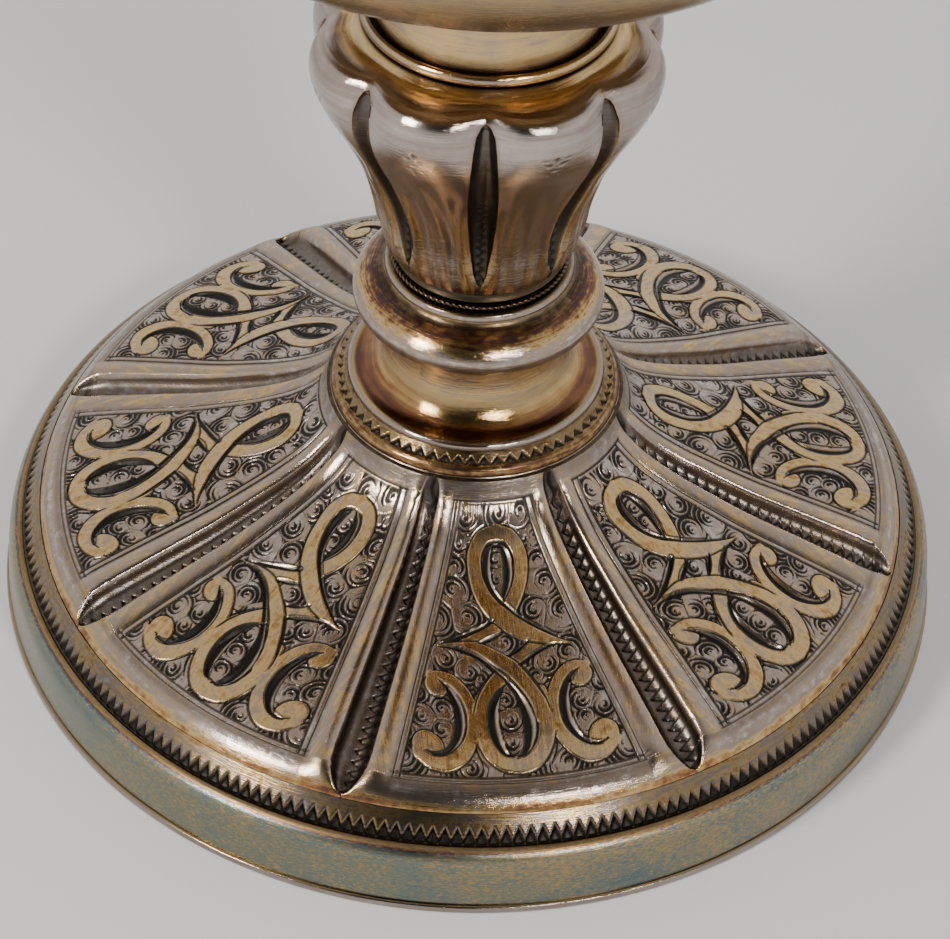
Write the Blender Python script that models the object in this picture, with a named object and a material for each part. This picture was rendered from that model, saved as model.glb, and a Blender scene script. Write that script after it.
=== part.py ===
"""Communion chalice, screwed together on one tie rod: every piece is its own closed solid.

Metres, +Z up. The origin is on the floor, under the middle of the foot. One of the foot's
eight panels faces -Y. Turned pieces are closed outlines carried round the Z axis; the foot
and the knop are turned too, but their flutes change the outline with the angle.
"""

import math

import bmesh
import bpy
import numpy as np

MM = 0.001

# Driving dimensions, in millimetres.
FOOT_RADIUS = 70.0
BAND_TOP = 10.7
PLATE_TOP = 36.9
RING_BOTTOM = 50.6
KNOP_BOTTOM = 62.8
KNOP_TOP = 96.6
NECK_BOTTOM = 100.6
BOWL_BOTTOM = 124.4
RIM_HEIGHT = 204.0
RIM_RADIUS = 55.0
BOWL_WALL = 1.1
SHEET = 1.1
GAP = 0.3
ROD_RADIUS = 3.0
ROD_BOTTOM = 22.0
ROD_TOP = 122.0

FLUTES = 8
PANEL_ANGLE = 2 * math.pi / FLUTES
TURN_STEPS = 40
FOOT_STEPS = 80
KNOP_STEPS = 48

# Outer face of the foot along the middle of a panel: radius, height.
FOOT_LINE = [(20.6, 36.0), (21.3, 35.1), (23.2, 32.2), (26.5, 29.3), (31.0, 26.8), (36.0, 24.7),
             (42.0, 22.5), (48.0, 20.8), (54.0, 19.1), (59.0, 17.6), (62.2, 16.2), (63.6, 14.9),
             (64.3, 13.4)]
FLUTE_START = 21.0
FLUTE_TIP = 63.9
RIM_TOP = 12.0
LIP_RISE = 0.6
# Knop outline up the crown of a lobe: radius, height.
KNOP_LINE = [(13.2, 62.8), (13.9, 65.5), (14.6, 70.0), (16.2, 76.0), (18.7, 81.8), (21.0, 86.2),
             (23.4, 91.0), (24.3, 94.2), (24.4, 96.6)]
KNOP_FLUTE_DEPTH = 0.13
KNOP_FLUTE_WIDTH = 0.2
KNOP_TURN = math.radians(-7.5)


def material(name, color, roughness):
    made = bpy.data.materials.new(name)
    made.use_nodes = True
    shader = made.node_tree.nodes["Principled BSDF"]
    shader.inputs["Base Color"].default_value = (*color, 1.0)
    shader.inputs["Metallic"].default_value = 1.0
    shader.inputs["Roughness"].default_value = roughness
    return made


def add_solid(name, points, faces, finish):
    """Makes a named object from millimetre points, with its faces turned outwards."""
    mesh = bpy.data.meshes.new(name)
    mesh.from_pydata(np.asarray(points) * MM, [], faces)
    work = bmesh.new()
    work.from_mesh(mesh)
    bmesh.ops.recalc_face_normals(work, faces=work.faces[:])
    work.to_mesh(mesh)
    work.free()
    mesh.shade_smooth()
    mesh.set_sharp_from_angle(angle=math.radians(35))
    mesh.materials.append(finish)
    solid = bpy.data.objects.new(name, mesh)
    bpy.context.scene.collection.objects.link(solid)
    return solid


def ring_faces(rows, steps):
    """Quads joining each row of points to the next, and the last row to the first."""
    faces = []
    for row in range(rows):
        for step in range(steps):
            here = row * steps
            above = (row + 1) % rows * steps
            after = (step + 1) % steps
            faces.append((here + step, here + after, above + after, above + step))
    return faces


def turn(name, outline, finish, steps=TURN_STEPS, shape=None):
    """Carries a closed (radius, height) outline round the axis.

    shape(radius, height, angles), if given, returns the radius and height at every angle.
    """
    angles = np.arange(steps) * 2 * math.pi / steps
    rows = []
    for radius, height in outline:
        radii = np.full(steps, float(radius))
        heights = np.full(steps, float(height))
        if shape:
            radii, heights = shape(radius, height, angles)
        rows.append(np.column_stack([radii * np.sin(angles), -radii * np.cos(angles), heights]))
    return add_solid(name, np.concatenate(rows), ring_faces(len(outline), steps), finish)


def solid_of_turn(name, outline, finish, steps=TURN_STEPS):
    """Carries an open outline round the axis and closes both ends with flat faces."""
    angles = np.arange(steps) * 2 * math.pi / steps
    rows = [np.column_stack([r * np.sin(angles), -r * np.cos(angles), np.full(steps, z)])
            for r, z in outline]
    faces = ring_faces(len(outline), steps)[:-steps]
    faces.append(tuple(range(steps)))
    faces.append(tuple(range((len(outline) - 1) * steps, len(outline) * steps)))
    return add_solid(name, np.concatenate(rows), faces, finish)


def nearest_flute(angles, offset):
    """Signed angle from each angle to the nearest of the eight flutes."""
    return (angles - offset + PANEL_ANGLE / 2) % PANEL_ANGLE - PANEL_ANGLE / 2


def foot_shape(radius, height, angles):
    """Presses the flutes into the foot and raises a lip on both sides of each.

    Across a flute the floor is a cosine trough of half-width w; the lip is a second cosine
    from w to 2 w. Both fade out at the flute's two ends, and the rim under them stays round.
    """
    if height < RIM_TOP:
        return np.full(len(angles), radius), np.full(len(angles), height)
    along = np.clip((radius - FLUTE_START) / (FLUTE_TIP - FLUTE_START), 0.0, 1.0)
    half_width = 1.5 + 2.3 * along
    fade = np.clip(along / 0.06, 0.0, 1.0) * np.clip((1.0 - along) / 0.04, 0.0, 1.0)
    depth = (1.7 + 1.2 * along) * fade
    across = np.abs(nearest_flute(angles, PANEL_ANGLE / 2)) * radius / half_width
    trough = np.where(across < 1.0, 0.5 + 0.5 * np.cos(np.pi * across), 0.0)
    lip = np.where(across < 2.2, 0.5 - 0.5 * np.cos(2 * np.pi * across / 2.2), 0.0)
    heights = height - depth * trough + LIP_RISE * fade * lip
    return np.full(len(angles), radius), heights


def knop_shape(radius, height, angles):
    """Narrows the knop at each of its eight flutes, which deepen from the bottom to the top.

    The knop was screwed home a little past the foot's panels, so its flutes don't face them.
    """
    rise = np.clip((height - KNOP_BOTTOM - 2.0) / (KNOP_TOP - KNOP_BOTTOM - 6.0), 0.0, 1.0)
    across = nearest_flute(angles, KNOP_TURN) / KNOP_FLUTE_WIDTH
    return radius * (1 - KNOP_FLUTE_DEPTH * rise * np.exp(-across**2)), np.full(len(angles), height)


def drop(line, by):
    """The inner face of a sheet: the outer line, lowered, in reverse order."""
    return [(radius, height - by) for radius, height in reversed(line)]


def inset(line, by):
    """The inner face of an upright wall: the outer line, drawn in, in reverse order."""
    return [(radius - by, height) for radius, height in reversed(line)]


def wire(radius, height, half_width, half_height, sides=6):
    """Closed oval section of a wire that is bent into a ring."""
    turns = [2 * math.pi * side / sides for side in range(sides)]
    return [(radius + half_width * math.cos(a), height + half_height * math.sin(a)) for a in turns]


def make_foot(silver, patina, gilt):
    turn("base_wire", [(FOOT_RADIUS, 0.0), (FOOT_RADIUS, 1.4), (69.6, 1.9), (66.0, 1.9), (66.0, 0.0)],
         patina)
    face = [(69.2, 2.2), (69.2, 6.6), (68.8, 9.0), (67.9, 10.3), (66.9, BAND_TOP)]
    back = [(62.4, BAND_TOP), (62.4, 9.8), (66.8, 9.8), (67.8, 8.6), (68.2, 6.6), (68.2, 2.2)]
    turn("foot_band", face + back, patina)
    turn("tooth_wire", [(66.7, 11.0), (66.7, 11.6), (65.0, 13.6), (64.8, 13.6), (64.8, 11.0)], silver)
    rim = [(64.4, 11.0), (63.3, 11.0)]
    back = [(radius - 0.3, height) for radius, height in drop(FOOT_LINE[1:], SHEET)]
    crown = [(19.0, 34.9), (19.0, 35.9)]
    turn("foot_shell", FOOT_LINE + rim + back + crown, silver, FOOT_STEPS, foot_shape)
    turn("crown_plate", [(20.9, 36.3), (20.9, 36.7), (20.6, PLATE_TOP), (4.2, PLATE_TOP), (4.2, 36.3)],
         gilt)
    turn("inner_tooth_wire", [(20.1, 37.2), (20.1, 37.5), (19.0, 38.4), (18.8, 38.4), (18.8, 37.2)],
         silver)


def make_stem(silver, gilt):
    outside = [(18.5, 37.2), (18.5, 39.0), (18.1, 39.5), (15.4, 40.2), (13.7, 41.6), (12.9, 44.0),
               (12.7, 47.0), (12.9, 50.3)]
    inside = [(11.7, 50.3), (11.5, 47.0), (11.8, 43.4), (14.3, 39.2), (15.6, 38.4), (15.6, 37.2)]
    turn("stem_collar", outside + inside, gilt)
    outside = [(14.6, RING_BOTTOM), (16.6, 51.3), (17.7, 52.6), (17.8, 53.7), (17.2, 55.1),
               (15.6, 56.5), (14.0, 57.0), (13.2, 58.0), (13.0, 58.9)]
    turn("stem_ring", outside + [(4.2, 58.9), (4.2, 57.9), (11.8, 57.0), (11.8, RING_BOTTOM)], silver)
    turn("roped_wire", wire(12.2, 59.65, 0.6, 0.45), silver)
    turn("knop_foot", [(12.0, 60.4), (11.6, 61.3), (12.0, 62.5), (4.2, 62.5), (4.2, 60.4)], silver)


def make_knop(silver, gilt):
    inside = inset(KNOP_LINE, SHEET)
    floor = [(4.2, KNOP_BOTTOM + 1.2), (4.2, KNOP_BOTTOM)]
    turn("knop", KNOP_LINE + inside[:-1] + [(12.1, KNOP_BOTTOM + 1.2)] + floor, silver, KNOP_STEPS,
         knop_shape)
    outside = [(24.2, 96.9), (23.8, 98.3), (22.8, 99.1), (21.4, 99.2), (19.8, 98.9), (18.3, 99.3),
               (17.4, 99.9), (17.0, 100.3)]
    back = [(4.2, 100.3), (4.2, 99.3), (16.2, 99.3), (17.8, 98.1), (19.8, 97.8), (22.0, 98.0), (22.9, 96.9)]
    turn("knop_cap", outside + back, gilt, KNOP_STEPS, knop_shape)


def make_neck(gilt):
    turn("neck_bead", wire(16.6, 101.6, 0.7, 0.9), gilt)
    outside = [(15.5, NECK_BOTTOM), (15.5, 104.6), (15.0, 105.4), (14.6, 109.0), (14.8, 114.0),
               (15.9, 118.6), (18.4, 122.2), (21.2, 124.2)]
    inside = [(18.6, 124.0), (16.8, 122.6), (14.6, 118.8), (13.6, 114.0), (13.4, 109.0),
              (13.8, NECK_BOTTOM)]
    turn("neck", outside + inside, gilt)


def make_bowl(silver, gilt):
    """The cup's wall is one turned sheet, with a soft corner between base and side."""
    base = [(20.0, BOWL_BOTTOM + 0.5), (34.0, 126.8), (42.0, 129.2), (47.0, 132.8), (50.4, 137.8),
            (52.2, 144.5), (53.1, 153.0), (54.0, 174.0), (54.4, 196.0)]
    lip = [(RIM_RADIUS, RIM_HEIGHT - 0.6), (RIM_RADIUS - 0.4, RIM_HEIGHT), (54.0, RIM_HEIGHT - 0.3)]
    outer = [(9.0, BOWL_BOTTOM)] + base + lip
    corners = [(53.3, 196.0), (52.9, 174.0), (52.0, 153.0), (51.1, 144.9), (49.4, 138.5), (46.3, 133.8),
               (41.6, 130.3), (34.0, 127.9)]
    solid_of_turn("bowl", outer + corners + [(20.0, 126.0), (9.0, BOWL_BOTTOM + BOWL_WALL)], silver)
    turn("bowl_boss", [(9.0, 116.0), (9.0, 123.0), (11.5, 124.0), (ROD_RADIUS + GAP, 124.0),
                       (ROD_RADIUS + GAP, 116.0)], gilt)


def make_fastening(steel, brass):
    solid_of_turn("tie_rod", [(ROD_RADIUS - 0.6, ROD_BOTTOM), (ROD_RADIUS, ROD_BOTTOM + 0.8),
                              (ROD_RADIUS, ROD_TOP)], steel, 24)
    bore = ROD_RADIUS + GAP
    turn("nut_washer", [(14.0, 35.0), (14.0, 36.0), (bore, 36.0), (bore, 34.8)], brass)
    turn("hand_nut", [(6.0, 34.5), (6.0, 32.4), (9.4, 32.0), (9.8, 31.4), (9.8, 28.4), (9.2, 27.8),
                      (bore, 27.8), (bore, 34.5)], brass, TURN_STEPS, nut_shape)


def nut_shape(radius, height, angles):
    """Twelve shallow finger flutes round the nut's wide head; its collar stays round."""
    depth = 0.5 if radius > 7.0 else 0.0
    return radius - depth * (0.5 + 0.5 * np.cos(12 * angles)), np.full(len(angles), height)


def main():
    for leftover in list(bpy.data.objects):
        bpy.data.objects.remove(leftover)
    silver = material("silver", (0.62, 0.57, 0.5), 0.24)
    patina = material("silver_patina", (0.3, 0.4, 0.38), 0.3)
    gilt = material("gilt", (0.75, 0.55, 0.24), 0.22)
    steel = material("rod_steel", (0.5, 0.5, 0.5), 0.35)
    brass = material("nut_brass", (0.66, 0.5, 0.24), 0.35)
    make_foot(silver, patina, gilt)
    make_stem(silver, gilt)
    make_knop(silver, gilt)
    make_neck(gilt)
    make_bowl(silver, gilt)
    make_fastening(steel, brass)


main()
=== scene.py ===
# %% [markdown]
# # A communion chalice, finished
#
# A chalice of this kind is turned and raised from sheet silver, engraved, partly gilded, and
# screwed together on a hidden rod. The frame holds its plain solids. Here each piece is made
# again as a fine surface, with its engraving cut into the mesh, and given a tarnished finish.

# %% Load the frame
import math

import bpy
import numpy as np
from mathutils import Matrix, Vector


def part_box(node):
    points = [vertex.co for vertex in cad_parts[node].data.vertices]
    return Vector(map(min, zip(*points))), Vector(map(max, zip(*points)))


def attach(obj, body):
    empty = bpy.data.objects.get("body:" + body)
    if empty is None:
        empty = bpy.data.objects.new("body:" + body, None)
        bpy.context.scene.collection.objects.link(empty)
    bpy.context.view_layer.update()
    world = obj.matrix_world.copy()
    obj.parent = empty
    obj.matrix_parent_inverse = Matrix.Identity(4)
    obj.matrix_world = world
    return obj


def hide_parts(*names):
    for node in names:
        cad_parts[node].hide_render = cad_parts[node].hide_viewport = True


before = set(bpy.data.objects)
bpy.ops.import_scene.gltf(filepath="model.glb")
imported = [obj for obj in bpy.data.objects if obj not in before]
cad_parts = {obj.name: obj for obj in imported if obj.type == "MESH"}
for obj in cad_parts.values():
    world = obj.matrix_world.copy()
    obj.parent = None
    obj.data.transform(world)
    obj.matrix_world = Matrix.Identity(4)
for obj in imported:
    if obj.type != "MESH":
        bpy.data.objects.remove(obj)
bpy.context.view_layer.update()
MM = 0.001

# %% [markdown]
# ## Camera
#
# The foot is seen from well above through a long lens, which keeps its rings from bulging. The
# camera's place is given by an azimuth round the stem and by three lengths in foot radii: how far
# out, how high and how far to one side. So it would follow the object if its size changed.

# %% Place the camera
FOOT_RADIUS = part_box("base_wire")[1].x
SENSOR_WIDTH = 36.0
LENS = 119.13
CAMERA_AZIMUTH = math.radians(-8.08)
CAMERA_TILT = math.radians(46.06)
CAMERA_ROLL = math.radians(2.29)
CAMERA_OUT = 4.823
CAMERA_UP = 4.892
CAMERA_ASIDE = 0.0076


def place_camera():
    """The camera stands on the -Y side, and the whole rig is turned about the stem by the azimuth."""
    data = bpy.data.cameras.new("camera")
    data.sensor_width = SENSOR_WIDTH
    data.lens = LENS
    data.clip_start = 0.01
    made = bpy.data.objects.new("camera", data)
    bpy.context.scene.collection.objects.link(made)
    rig = Matrix.Rotation(CAMERA_AZIMUTH, 4, "Z")
    spot = [share * FOOT_RADIUS for share in (CAMERA_ASIDE, -CAMERA_OUT, CAMERA_UP)]
    look = Matrix.Rotation(CAMERA_TILT, 4, "X") @ Matrix.Rotation(CAMERA_ROLL, 4, "Z")
    made.matrix_world = rig @ Matrix.Translation(spot) @ look
    bpy.context.scene.camera = made
    return made


camera = place_camera()
print("camera at", [round(value, 3) for value in camera.matrix_world.translation])

# %% [markdown]
# ## Floor and light
#
# Polished metal shows its surroundings, so the light is built for its reflections. Two square
# softboxes give every moulding its pair of bright windows. The sky is pale at the horizon and
# greyer overhead, with one dark side that gives the turned rings their contrast.

# %% Floor, softboxes and sky
FLOOR_HALF = 4.0
PAPER_COLOR = (0.68, 0.685, 0.7, 1.0)


def pale_floor():
    """A flat square of matt paper, level with the foot's lowest edge."""
    corners = [(x * FLOOR_HALF, y * FLOOR_HALF, 0) for x, y in ((-1, -1), (1, -1), (1, 1), (-1, 1))]
    mesh = bpy.data.meshes.new("floor")
    mesh.from_pydata(corners, [], [(0, 1, 2, 3)])
    paper = bpy.data.materials.new("white paper")
    paper.use_nodes = True
    shader = paper.node_tree.nodes["Principled BSDF"]
    shader.inputs["Base Color"].default_value = PAPER_COLOR
    shader.inputs["Roughness"].default_value = 0.85
    mesh.materials.append(paper)
    floor = bpy.data.objects.new("floor", mesh)
    bpy.context.scene.collection.objects.link(floor)


LAMP_DISTANCE = 1.0
LAMP_ELEVATION = 36.0
AIM_HEIGHT = 0.05


def softbox(name, azimuth, size, power, color):
    """A square lamp that faces the stem; its azimuth is counted from the camera's side."""
    lamp = bpy.data.lights.new(name, "AREA")
    lamp.shape = "SQUARE"
    lamp.size = size
    lamp.energy = power
    lamp.color = color
    made = bpy.data.objects.new(name, lamp)
    bpy.context.scene.collection.objects.link(made)
    turned = Matrix.Rotation(CAMERA_AZIMUTH + math.radians(azimuth), 4, "Z")
    raised = Matrix.Rotation(math.radians(90.0 - LAMP_ELEVATION), 4, "X")
    aim = Matrix.Translation((0.0, 0.0, AIM_HEIGHT))
    made.matrix_world = aim @ turned @ raised @ Matrix.Translation((0.0, 0.0, LAMP_DISTANCE))


HORIZON_COLOR = (0.80, 0.80, 0.81, 1.0)
OVERHEAD_COLOR = (0.60, 0.58, 0.55, 1.0)
SKY_STRENGTH = 1.36
DARKEST = 0.06
DARK_REACH = math.radians(47.0)
DARK_CORE = math.radians(20.0)


def studio_sky():
    """Pale at the horizon and greyer overhead. Round the camera's first place the room is dark, and
    a face that mirrors that side of the room is dark with it."""
    world = bpy.data.worlds.new("studio")
    world.use_nodes = True
    nodes, links = world.node_tree.nodes, world.node_tree.links
    where = nodes.new("ShaderNodeTexCoord").outputs["Generated"]
    parts = nodes.new("ShaderNodeSeparateXYZ")
    links.new(where, parts.inputs[0])
    ramp = nodes.new("ShaderNodeValToRGB")
    ramp.color_ramp.elements[0].color = HORIZON_COLOR
    ramp.color_ramp.elements[1].color = OVERHEAD_COLOR
    links.new(parts.outputs["Z"], ramp.inputs[0])
    toward = nodes.new("ShaderNodeVectorMath")
    toward.operation = "DOT_PRODUCT"
    links.new(where, toward.inputs[0])
    toward.inputs[1].default_value = camera.matrix_world.translation.normalized()
    dark = nodes.new("ShaderNodeMapRange")
    dark.interpolation_type = "SMOOTHSTEP"
    links.new(toward.outputs["Value"], dark.inputs["Value"])
    dark.inputs["From Min"].default_value = math.cos(DARK_REACH)
    dark.inputs["From Max"].default_value = math.cos(DARK_CORE)
    dark.inputs["To Min"].default_value = 1.0
    dark.inputs["To Max"].default_value = DARKEST
    shade = nodes.new("ShaderNodeVectorMath")
    shade.operation = "SCALE"
    links.new(ramp.outputs["Color"], shade.inputs[0])
    links.new(dark.outputs["Result"], shade.inputs["Scale"])
    links.new(shade.outputs["Vector"], nodes["Background"].inputs["Color"])
    nodes["Background"].inputs["Strength"].default_value = SKY_STRENGTH
    bpy.context.scene.world = world


pale_floor()
softbox("left softbox", -52.0, 0.2, 7.0, (1.0, 0.96, 0.9))
softbox("right softbox", 26.0, 0.15, 4.4, (1.0, 0.97, 0.93))
studio_sky()
print("two softboxes and a sky")

# %% [markdown]
# ## Surfaces from arrays
#
# Every piece is a grid of points: rows along an outline, columns round the stem. A smooth run of
# outline is a Catmull-Rom curve, which passes through its few control points. Besides its radius
# and height, each control point carries two finish values, so tarnish and darkening follow the
# mouldings: film is the tarnish layer's thickness, and the second value is how black a recess has
# gone, partly soot and partly painted shade in recesses, creases and gaps between parts. Four
# small functions, a climb, a drop, a bell and a stroke, shape every detail that is cut or raised.

# %% Ramps and bells
FULL_TURN = 2 * math.pi


def rise(value, start, width):
    """0 up to start, then a straight climb that reaches 1 after the width."""
    return np.clip((value - start) / width, 0, 1)


def fall(value, end, width):
    """1, then a straight drop over the width that reaches 0 at end."""
    return np.clip((end - value) / width, 0, 1)


def bell(value, middle, width):
    """1 at the middle, falling as exp(-x^2), where x is the distance from it in widths."""
    return np.exp(-(((value - middle) / width) ** 2))


def stroke(distance, width, strength):
    """A cut line's depth: the strength on its middle, less 1 for every width away, kept in 0 to 1."""
    return np.clip(strength - np.abs(distance) / width, 0, 1)


# %% Curves and grids
def same_finish(points, film, soot_and_shade):
    """Gives every point of a run the same film and soot."""
    return [(*point, film, soot_and_shade) for point in points]


def flowing(points, steps):
    """Catmull-Rom curve: on each span, the cubic whose end slopes are half the chord across its
    two neighbours. The end points are doubled."""
    points = np.asarray(points, float)
    padded = np.concatenate([2 * points[:1] - points[1:2], points, 2 * points[-1:] - points[-2:-1]])
    before, start, end, after = padded[:-3], padded[1:-2], padded[2:-1], padded[3:]
    t = (np.arange(steps) / steps)[None, :, None]
    before, start, end, after = (row[:, None, :] for row in (before, start, end, after))
    curve = 0.5 * (2 * start + (end - before) * t + (2 * before - 5 * start + 4 * end - after) * t**2
                   + (3 * start - before - 3 * end + after) * t**3)
    return np.concatenate([curve.reshape(-1, points.shape[1]), points[-1:]])


def outline_of(*streaks_and_highlights, steps=8):
    """Joins smooth runs into one closed outline; a run that starts where the last ended shares it."""
    curves = [flowing(run, steps) for run in streaks_and_highlights]
    joined = [curves[0]]
    for curve in curves[1:]:
        shared = np.allclose(curve[0, :2], joined[-1][-1, :2])
        joined.append(curve[1:] if shared else curve)
    whole = np.concatenate(joined)
    return whole[:-1] if np.allclose(whole[0, :2], whole[-1, :2]) else whole


def length_along(curve):
    """Each point's distance from the first, measured along the curve."""
    return np.concatenate([[0], np.cumsum(np.hypot(*np.diff(curve[:, :2], axis=0).T))])


def grid_faces(rows, columns, wrap_rows, wrap_columns):
    """Quads between neighbouring rows and columns; a wrapped direction joins its last to its first."""
    row = np.arange(rows if wrap_rows else rows - 1)[:, None]
    column = np.arange(columns if wrap_columns else columns - 1)[None, :]
    above = (row + 1) % rows
    after = (column + 1) % columns
    corners = [row * columns + column, row * columns + after,
               above * columns + after, above * columns + column]
    return np.stack(np.broadcast_arrays(*corners), axis=-1).reshape(-1, 4)


def round_points(radii, heights, angles):
    """Radius, height and angle to x, y, z; angle 0 faces -Y and grows towards +X."""
    radii, heights, angles = np.broadcast_arrays(radii, heights, angles)
    return np.stack([radii * np.sin(angles), -radii * np.cos(angles), heights], axis=-1).reshape(-1, 3)


# %% Meshes and pieces
def outward_volume(points, faces):
    """Six times the signed volume under a fan of triangles: the sum of a . (b x c) over their corners."""
    total = 0.0
    for corner in range(1, faces.shape[1] - 1):
        first, second, third = (points[faces[:, k]] for k in (0, corner, corner + 1))
        total += np.einsum("ij,ij->", first, np.cross(second, third))
    return total


piece_triangles = {}


def add_piece(name, points, faces, finish, node, sharp, body, values):
    """Makes a piece from millimetre points; faces is a list of index arrays, one for each face size.
    Faces that point inwards are turned round. values holds the finish attributes of the points."""
    if sum(outward_volume(points, block) for block in faces) < 0:
        faces = [block[:, ::-1] for block in faces]
    mesh = bpy.data.meshes.new(name)
    mesh.vertices.add(len(points))
    mesh.vertices.foreach_set("co", (points * MM).astype(np.float32).ravel())
    sizes = np.concatenate([np.full(len(block), block.shape[1]) for block in faces])
    corners = np.concatenate([block.ravel() for block in faces])
    mesh.loops.add(len(corners))
    mesh.loops.foreach_set("vertex_index", corners.astype(np.int32))
    mesh.polygons.add(len(sizes))
    starts = np.concatenate([[0], np.cumsum(sizes)[:-1]])
    mesh.polygons.foreach_set("loop_start", starts.astype(np.int32))
    for key, field in values.items():
        kind, part = ("FLOAT_VECTOR", "vector") if np.ndim(field) == 2 else ("FLOAT", "value")
        stored = mesh.attributes.new(key, kind, "POINT")
        stored.data.foreach_set(part, np.float32(field).ravel())
    mesh.update(calc_edges=True)
    mesh.shade_smooth()
    mesh.set_sharp_from_angle(angle=math.radians(sharp))
    mesh.materials.append(finish)
    piece = bpy.data.objects.new(name, mesh)
    bpy.context.scene.collection.objects.link(piece)
    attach(piece, body)
    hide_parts(node)
    piece_triangles[name] = int((sizes - 2).sum())
    print(f"{name}: {piece_triangles[name]} triangles")


def turned(name, outline, finish, node, slot, steps=144, shape=None, sharp=50.0, body="chalice",
           angles=None):
    """Carries a closed outline of radius, height, film, and soot with painted shade round the stem.

    shape(radius, height, film, darkening, angle), if given, returns the four changed at every angle; the
    darkening is soot with painted shade.
    The turning attribute is the point's x and y and its length along the outline, for streaks.
    """
    if angles is None:
        angles = np.arange(steps)[None, :] * FULL_TURN / steps
    radius, height, film, soot_and_shade = (outline[:, k][:, None] + 0 * angles for k in range(4))
    length = length_along(outline)[:, None] + 0 * angles
    if shape:
        radius, height, film, soot_and_shade = shape(radius, height, film, soot_and_shade, angles)
    values = {"film": film.ravel(), "soot_and_shade": soot_and_shade.ravel(), "turning": round_points(radius, length, angles)}
    faces = grid_faces(len(outline), angles.shape[1], True, True)
    points = round_points(radius, height, angles)
    add_piece(name, points, [faces], finish, node, sharp, body, values)

# %% [markdown]
# ## Shared finishes
#
# Old silver darkens through a film of sulphide. As the film thickens it takes the colours of a
# soap bubble: straw, gold, brown, purple, blue, then sea green. One node group turns a film
# thickness into that colour. Two more groups make the patterns that vary the thickness:
# cloudy patches where hands have rubbed, and the fine streaks that polishing leaves round a
# turned ring. Each metal places these groups with its own values.

# %% Node helpers
def new_group(name, inputs, outputs):
    """A shader node group with named number and vector sockets."""
    group = bpy.data.node_groups.new(name, "ShaderNodeTree")
    for label, kind, value in inputs:
        socket = group.interface.new_socket(label, in_out="INPUT", socket_type=kind)
        if value is not None:
            socket.default_value = value
    for label, kind in outputs:
        group.interface.new_socket(label, in_out="OUTPUT", socket_type=kind)
    return group, group.nodes.new("NodeGroupInput"), group.nodes.new("NodeGroupOutput")


def feed(tree, socket, value):
    """Links an output to a socket, or sets a plain number on it."""
    if isinstance(value, bpy.types.NodeSocket):
        tree.links.new(value, socket)
    else:
        socket.default_value = value


def calculate(tree, operation, *values, clamp=False):
    """One Math node."""
    node = tree.nodes.new("ShaderNodeMath")
    node.operation = operation
    node.use_clamp = clamp
    for socket, value in zip(node.inputs, values):
        feed(tree, socket, value)
    return node.outputs[0]


def placed(tree, group, **inputs):
    """Places a node group and feeds its inputs by name."""
    node = tree.nodes.new("ShaderNodeGroup")
    node.node_tree = group
    for label, value in inputs.items():
        feed(tree, node.inputs[label], value)
    return node.outputs[0]


def noise(tree, vector, scale, detail, roughness):
    """One Noise Texture node."""
    node = tree.nodes.new("ShaderNodeTexNoise")
    feed(tree, node.inputs["Vector"], vector)
    feed(tree, node.inputs["Scale"], scale)
    node.inputs["Detail"].default_value = detail
    node.inputs["Roughness"].default_value = roughness
    return node.outputs[0]


# %% The three groups
SPREAD = 2.2
NUMBER, VECTOR, COLOR = "NodeSocketFloat", "NodeSocketVector", "NodeSocketColor"
FILM_COLORS = [
    (0.00, (0.50, 0.45, 0.41)),
    (0.12, (0.35, 0.28, 0.24)),
    (0.20, (0.37, 0.285, 0.215)),
    (0.30, (0.60, 0.42, 0.20)),
    (0.39, (0.46, 0.275, 0.11)),
    (0.48, (0.27, 0.125, 0.06)),
    (0.57, (0.15, 0.07, 0.06)),
    (0.66, (0.11, 0.08, 0.14)),
    (0.75, (0.09, 0.13, 0.17)),
    (0.86, (0.15, 0.19, 0.17)),
    (1.00, (0.20, 0.20, 0.13)),
]


def film_group():
    """Film thickness, 0 to 1, to the metal's colour."""
    group, start, end = new_group("tarnish film", [("Film", NUMBER, 0.2)], [("Color", COLOR)])
    ramp = group.nodes.new("ShaderNodeValToRGB")
    stops = ramp.color_ramp.elements
    for stop in FILM_COLORS[1:-1]:
        stops.new(stop[0])
    for stop, (position, color) in zip(stops, FILM_COLORS):
        stop.position = position
        stop.color = (*color, 1.0)
    group.links.new(start.outputs["Film"], ramp.inputs[0])
    group.links.new(ramp.outputs["Color"], end.inputs["Color"])
    return group


def patches_group():
    """Cloudy noise, spread so that it reaches about -0.5 to 0.5."""
    inputs = [("Vector", VECTOR, None), ("Scale", NUMBER, 60.0)]
    group, start, end = new_group("rubbed patches", inputs, [("Value", NUMBER)])
    cloud = noise(group, start.outputs["Vector"], start.outputs["Scale"], 5.0, 0.62)
    centred = calculate(group, "SUBTRACT", cloud, 0.5)
    group.links.new(calculate(group, "MULTIPLY", centred, SPREAD), end.inputs["Value"])
    return group


def streaks_group():
    """Noise squeezed across the turning and drawn out round it: the turning attribute is in
    millimetres, its x and y go round the stem and its z runs along the outline."""
    inputs = [("Vector", VECTOR, None), ("Across", NUMBER, 3.0), ("Along", NUMBER, 0.05)]
    group, start, end = new_group("turning streaks", inputs, [("Value", NUMBER)])
    parts = group.nodes.new("ShaderNodeSeparateXYZ")
    group.links.new(start.outputs["Vector"], parts.inputs[0])
    along, across = start.outputs["Along"], start.outputs["Across"]
    joined = group.nodes.new("ShaderNodeCombineXYZ")
    for axis, scale in zip("XYZ", (along, along, across)):
        group.links.new(calculate(group, "MULTIPLY", parts.outputs[axis], scale), joined.inputs[axis])
    lines = noise(group, joined.outputs[0], 1.0, 4.0, 0.6)
    centred = calculate(group, "SUBTRACT", lines, 0.5)
    group.links.new(calculate(group, "MULTIPLY", centred, SPREAD), end.inputs["Value"])
    return group


film, patches, streaks = film_group(), patches_group(), streaks_group()
print("groups:", film.name, patches.name, streaks.name)
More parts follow.
